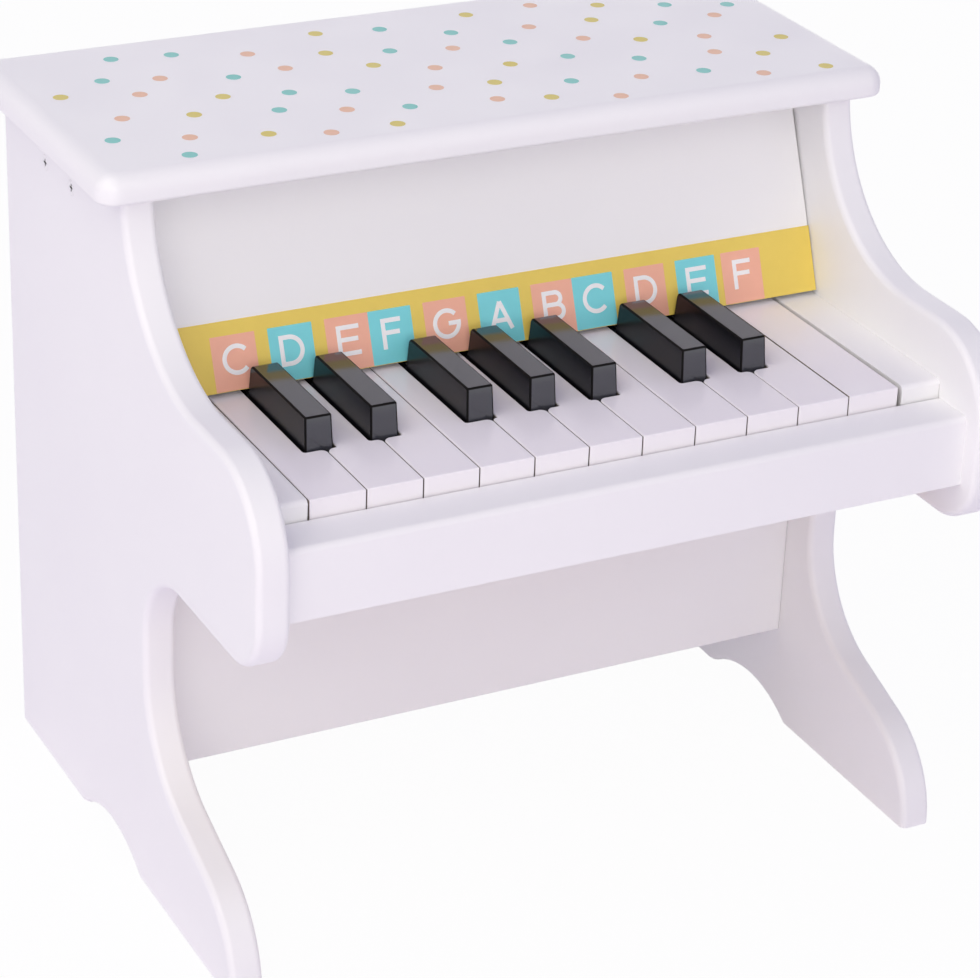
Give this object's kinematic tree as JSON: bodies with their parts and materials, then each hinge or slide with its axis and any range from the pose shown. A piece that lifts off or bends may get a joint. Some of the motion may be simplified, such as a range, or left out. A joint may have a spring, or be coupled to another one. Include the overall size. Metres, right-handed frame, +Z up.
{
  "type": "toy piano",
  "caption": "Small white upright toy piano: sabre-legged side boards, overhanging lid, slanted note panel and a keyboard whose sprung keys throw hammers at tone rods.",
  "frame": {"origin": "on the floor, under the middle of the whole object", "axes": "+X to the treble end, as the player sees it, +Y towards the back, +Z up"},
  "size_m": [0.3034, 0.23, 0.2695],
  "materials": {
    "white_lacquer": "satin white lacquer on fibreboard",
    "note_strip": "printed, satin",
    "white_key": "gloss white lacquer",
    "black_key": "polished",
    "bare_wood": "sanded softwood and plywood",
    "felt": "pressed wool felt",
    "steel": "drawn bar",
    "screw_steel": "zinc plated",
    "cast_iron": "black paint",
    "hammer_plastic": "moulded"
  },
  "bodies": {
    "case": {"left_side_panel": "white_lacquer", "right_side_panel": "white_lacquer", "lid": "white_lacquer", "upper_front_panel": "white_lacquer", "lower_front_panel": "white_lacquer", "key_slip": "white_lacquer", "left_key_block": "white_lacquer", "right_key_block": "white_lacquer", "back_panel": "white_lacquer", "note_strip": "note_strip", "key_bed": "bare_wood", "bottom_board": "bare_wood", "back_cleats": "bare_wood", "front_key_rail": "bare_wood", "rear_key_rail": "bare_wood", "tone_beam": "bare_wood", "key_felts": "felt", "key_guide_pins": "steel", "key_pivot_rod": "steel", "hammer_pivot_rod": "steel", "hammer_spacers": "hammer_plastic", "tone_rods": "steel", "tone_block": "cast_iron", "wood_screws": "screw_steel"},
    "white_key_c1": {"white_key_c1": "white_key"},
    "hammer_c1": {"hammer_c1": "hammer_plastic"},
    "black_key_cs1": {"black_key_cs1": "black_key"},
    "hammer_cs1": {"hammer_cs1": "hammer_plastic"},
    "white_key_d1": {"white_key_d1": "white_key"},
    "hammer_d1": {"hammer_d1": "hammer_plastic"},
    "black_key_ds1": {"black_key_ds1": "black_key"},
    "hammer_ds1": {"hammer_ds1": "hammer_plastic"},
    "white_key_e1": {"white_key_e1": "white_key"},
    "hammer_e1": {"hammer_e1": "hammer_plastic"},
    "white_key_f1": {"white_key_f1": "white_key"},
    "hammer_f1": {"hammer_f1": "hammer_plastic"},
    "black_key_fs1": {"black_key_fs1": "black_key"},
    "hammer_fs1": {"hammer_fs1": "hammer_plastic"},
    "white_key_g1": {"white_key_g1": "white_key"},
    "hammer_g1": {"hammer_g1": "hammer_plastic"},
    "black_key_gs1": {"black_key_gs1": "black_key"},
    "hammer_gs1": {"hammer_gs1": "hammer_plastic"},
    "white_key_a1": {"white_key_a1": "white_key"},
    "hammer_a1": {"hammer_a1": "hammer_plastic"},
    "black_key_as1": {"black_key_as1": "black_key"},
    "hammer_as1": {"hammer_as1": "hammer_plastic"},
    "white_key_b1": {"white_key_b1": "white_key"},
    "hammer_b1": {"hammer_b1": "hammer_plastic"},
    "white_key_c2": {"white_key_c2": "white_key"},
    "hammer_c2": {"hammer_c2": "hammer_plastic"},
    "black_key_cs2": {"black_key_cs2": "black_key"},
    "hammer_cs2": {"hammer_cs2": "hammer_plastic"},
    "white_key_d2": {"white_key_d2": "white_key"},
    "hammer_d2": {"hammer_d2": "hammer_plastic"},
    "black_key_ds2": {"black_key_ds2": "black_key"},
    "hammer_ds2": {"hammer_ds2": "hammer_plastic"},
    "white_key_e2": {"white_key_e2": "white_key"},
    "hammer_e2": {"hammer_e2": "hammer_plastic"},
    "white_key_f2": {"white_key_f2": "white_key"},
    "hammer_f2": {"hammer_f2": "hammer_plastic"}
  },
  "joints": [
    {"name": "white_key_c1_press", "type": "hinge", "parent": "case", "child": "white_key_c1", "pos_m": [0, 0.022, 0.1778], "axis": [1, 0, 0], "range_deg": [0, 3], "stiffness_Nm_per_rad": 0.2, "springref_deg": -11.46},
    {"name": "hammer_c1_swing", "type": "hinge", "parent": "case", "child": "hammer_c1", "pos_m": [0, 0.0755, 0.1882], "axis": [-1, 0, 0], "range_deg": [0, 14.85]},
    {"name": "black_key_cs1_press", "type": "hinge", "parent": "case", "child": "black_key_cs1", "pos_m": [0, 0.022, 0.1778], "axis": [1, 0, 0], "range_deg": [0, 3], "stiffness_Nm_per_rad": 0.2, "springref_deg": -11.46},
    {"name": "hammer_cs1_swing", "type": "hinge", "parent": "case", "child": "hammer_cs1", "pos_m": [0, 0.0755, 0.1882], "axis": [-1, 0, 0], "range_deg": [0, 14.85]},
    {"name": "white_key_d1_press", "type": "hinge", "parent": "case", "child": "white_key_d1", "pos_m": [0, 0.022, 0.1778], "axis": [1, 0, 0], "range_deg": [0, 3], "stiffness_Nm_per_rad": 0.2, "springref_deg": -11.46},
    {"name": "hammer_d1_swing", "type": "hinge", "parent": "case", "child": "hammer_d1", "pos_m": [0, 0.0755, 0.1882], "axis": [-1, 0, 0], "range_deg": [0, 14.85]},
    {"name": "black_key_ds1_press", "type": "hinge", "parent": "case", "child": "black_key_ds1", "pos_m": [0, 0.022, 0.1778], "axis": [1, 0, 0], "range_deg": [0, 3], "stiffness_Nm_per_rad": 0.2, "springref_deg": -11.46},
    {"name": "hammer_ds1_swing", "type": "hinge", "parent": "case", "child": "hammer_ds1", "pos_m": [0, 0.0755, 0.1882], "axis": [-1, 0, 0], "range_deg": [0, 14.85]},
    {"name": "white_key_e1_press", "type": "hinge", "parent": "case", "child": "white_key_e1", "pos_m": [0, 0.022, 0.1778], "axis": [1, 0, 0], "range_deg": [0, 3], "stiffness_Nm_per_rad": 0.2, "springref_deg": -11.46},
    {"name": "hammer_e1_swing", "type": "hinge", "parent": "case", "child": "hammer_e1", "pos_m": [0, 0.0755, 0.1882], "axis": [-1, 0, 0], "range_deg": [0, 14.85]},
    {"name": "white_key_f1_press", "type": "hinge", "parent": "case", "child": "white_key_f1", "pos_m": [0, 0.022, 0.1778], "axis": [1, 0, 0], "range_deg": [0, 3], "stiffness_Nm_per_rad": 0.2, "springref_deg": -11.46},
    {"name": "hammer_f1_swing", "type": "hinge", "parent": "case", "child": "hammer_f1", "pos_m": [0, 0.0755, 0.1882], "axis": [-1, 0, 0], "range_deg": [0, 14.85]},
    {"name": "black_key_fs1_press", "type": "hinge", "parent": "case", "child": "black_key_fs1", "pos_m": [0, 0.022, 0.1778], "axis": [1, 0, 0], "range_deg": [0, 3], "stiffness_Nm_per_rad": 0.2, "springref_deg": -11.46},
    {"name": "hammer_fs1_swing", "type": "hinge", "parent": "case", "child": "hammer_fs1", "pos_m": [0, 0.0755, 0.1882], "axis": [-1, 0, 0], "range_deg": [0, 14.85]},
    {"name": "white_key_g1_press", "type": "hinge", "parent": "case", "child": "white_key_g1", "pos_m": [0, 0.022, 0.1778], "axis": [1, 0, 0], "range_deg": [0, 3], "stiffness_Nm_per_rad": 0.2, "springref_deg": -11.46},
    {"name": "hammer_g1_swing", "type": "hinge", "parent": "case", "child": "hammer_g1", "pos_m": [0, 0.0755, 0.1882], "axis": [-1, 0, 0], "range_deg": [0, 14.85]},
    {"name": "black_key_gs1_press", "type": "hinge", "parent": "case", "child": "black_key_gs1", "pos_m": [0, 0.022, 0.1778], "axis": [1, 0, 0], "range_deg": [0, 3], "stiffness_Nm_per_rad": 0.2, "springref_deg": -11.46},
    {"name": "hammer_gs1_swing", "type": "hinge", "parent": "case", "child": "hammer_gs1", "pos_m": [0, 0.0755, 0.1882], "axis": [-1, 0, 0], "range_deg": [0, 14.85]},
    {"name": "white_key_a1_press", "type": "hinge", "parent": "case", "child": "white_key_a1", "pos_m": [0, 0.022, 0.1778], "axis": [1, 0, 0], "range_deg": [0, 3], "stiffness_Nm_per_rad": 0.2, "springref_deg": -11.46},
    {"name": "hammer_a1_swing", "type": "hinge", "parent": "case", "child": "hammer_a1", "pos_m": [0, 0.0755, 0.1882], "axis": [-1, 0, 0], "range_deg": [0, 14.85]},
    {"name": "black_key_as1_press", "type": "hinge", "parent": "case", "child": "black_key_as1", "pos_m": [0, 0.022, 0.1778], "axis": [1, 0, 0], "range_deg": [0, 3], "stiffness_Nm_per_rad": 0.2, "springref_deg": -11.46},
    {"name": "hammer_as1_swing", "type": "hinge", "parent": "case", "child": "hammer_as1", "pos_m": [0, 0.0755, 0.1882], "axis": [-1, 0, 0], "range_deg": [0, 14.85]},
    {"name": "white_key_b1_press", "type": "hinge", "parent": "case", "child": "white_key_b1", "pos_m": [0, 0.022, 0.1778], "axis": [1, 0, 0], "range_deg": [0, 3], "stiffness_Nm_per_rad": 0.2, "springref_deg": -11.46},
    {"name": "hammer_b1_swing", "type": "hinge", "parent": "case", "child": "hammer_b1", "pos_m": [0, 0.0755, 0.1882], "axis": [-1, 0, 0], "range_deg": [0, 14.85]},
    {"name": "white_key_c2_press", "type": "hinge", "parent": "case", "child": "white_key_c2", "pos_m": [0, 0.022, 0.1778], "axis": [1, 0, 0], "range_deg": [0, 3], "stiffness_Nm_per_rad": 0.2, "springref_deg": -11.46},
    {"name": "hammer_c2_swing", "type": "hinge", "parent": "case", "child": "hammer_c2", "pos_m": [0, 0.0755, 0.1882], "axis": [-1, 0, 0], "range_deg": [0, 14.85]},
    {"name": "black_key_cs2_press", "type": "hinge", "parent": "case", "child": "black_key_cs2", "pos_m": [0, 0.022, 0.1778], "axis": [1, 0, 0], "range_deg": [0, 3], "stiffness_Nm_per_rad": 0.2, "springref_deg": -11.46},
    {"name": "hammer_cs2_swing", "type": "hinge", "parent": "case", "child": "hammer_cs2", "pos_m": [0, 0.0755, 0.1882], "axis": [-1, 0, 0], "range_deg": [0, 14.85]},
    {"name": "white_key_d2_press", "type": "hinge", "parent": "case", "child": "white_key_d2", "pos_m": [0, 0.022, 0.1778], "axis": [1, 0, 0], "range_deg": [0, 3], "stiffness_Nm_per_rad": 0.2, "springref_deg": -11.46},
    {"name": "hammer_d2_swing", "type": "hinge", "parent": "case", "child": "hammer_d2", "pos_m": [0, 0.0755, 0.1882], "axis": [-1, 0, 0], "range_deg": [0, 14.85]},
    {"name": "black_key_ds2_press", "type": "hinge", "parent": "case", "child": "black_key_ds2", "pos_m": [0, 0.022, 0.1778], "axis": [1, 0, 0], "range_deg": [0, 3], "stiffness_Nm_per_rad": 0.2, "springref_deg": -11.46},
    {"name": "hammer_ds2_swing", "type": "hinge", "parent": "case", "child": "hammer_ds2", "pos_m": [0, 0.0755, 0.1882], "axis": [-1, 0, 0], "range_deg": [0, 14.85]},
    {"name": "white_key_e2_press", "type": "hinge", "parent": "case", "child": "white_key_e2", "pos_m": [0, 0.022, 0.1778], "axis": [1, 0, 0], "range_deg": [0, 3], "stiffness_Nm_per_rad": 0.2, "springref_deg": -11.46},
    {"name": "hammer_e2_swing", "type": "hinge", "parent": "case", "child": "hammer_e2", "pos_m": [0, 0.0755, 0.1882], "axis": [-1, 0, 0], "range_deg": [0, 14.85]},
    {"name": "white_key_f2_press", "type": "hinge", "parent": "case", "child": "white_key_f2", "pos_m": [0, 0.022, 0.1778], "axis": [1, 0, 0], "range_deg": [0, 3], "stiffness_Nm_per_rad": 0.2, "springref_deg": -11.46},
    {"name": "hammer_f2_swing", "type": "hinge", "parent": "case", "child": "hammer_f2", "pos_m": [0, 0.0755, 0.1882], "axis": [-1, 0, 0], "range_deg": [0, 14.85]}
  ],
  "couplings": [
    {"joint": "hammer_c1_swing", "follows": "white_key_c1_press", "ratio": 4.9444},
    {"joint": "hammer_cs1_swing", "follows": "black_key_cs1_press", "ratio": 4.9444},
    {"joint": "hammer_d1_swing", "follows": "white_key_d1_press", "ratio": 4.9444},
    {"joint": "hammer_ds1_swing", "follows": "black_key_ds1_press", "ratio": 4.9444},
    {"joint": "hammer_e1_swing", "follows": "white_key_e1_press", "ratio": 4.9444},
    {"joint": "hammer_f1_swing", "follows": "white_key_f1_press", "ratio": 4.9444},
    {"joint": "hammer_fs1_swing", "follows": "black_key_fs1_press", "ratio": 4.9444},
    {"joint": "hammer_g1_swing", "follows": "white_key_g1_press", "ratio": 4.9444},
    {"joint": "hammer_gs1_swing", "follows": "black_key_gs1_press", "ratio": 4.9444},
    {"joint": "hammer_a1_swing", "follows": "white_key_a1_press", "ratio": 4.9444},
    {"joint": "hammer_as1_swing", "follows": "black_key_as1_press", "ratio": 4.9444},
    {"joint": "hammer_b1_swing", "follows": "white_key_b1_press", "ratio": 4.9444},
    {"joint": "hammer_c2_swing", "follows": "white_key_c2_press", "ratio": 4.9444},
    {"joint": "hammer_cs2_swing", "follows": "black_key_cs2_press", "ratio": 4.9444},
    {"joint": "hammer_d2_swing", "follows": "white_key_d2_press", "ratio": 4.9444},
    {"joint": "hammer_ds2_swing", "follows": "black_key_ds2_press", "ratio": 4.9444},
    {"joint": "hammer_e2_swing", "follows": "white_key_e2_press", "ratio": 4.9444},
    {"joint": "hammer_f2_swing", "follows": "white_key_f2_press", "ratio": 4.9444}
  ]
}
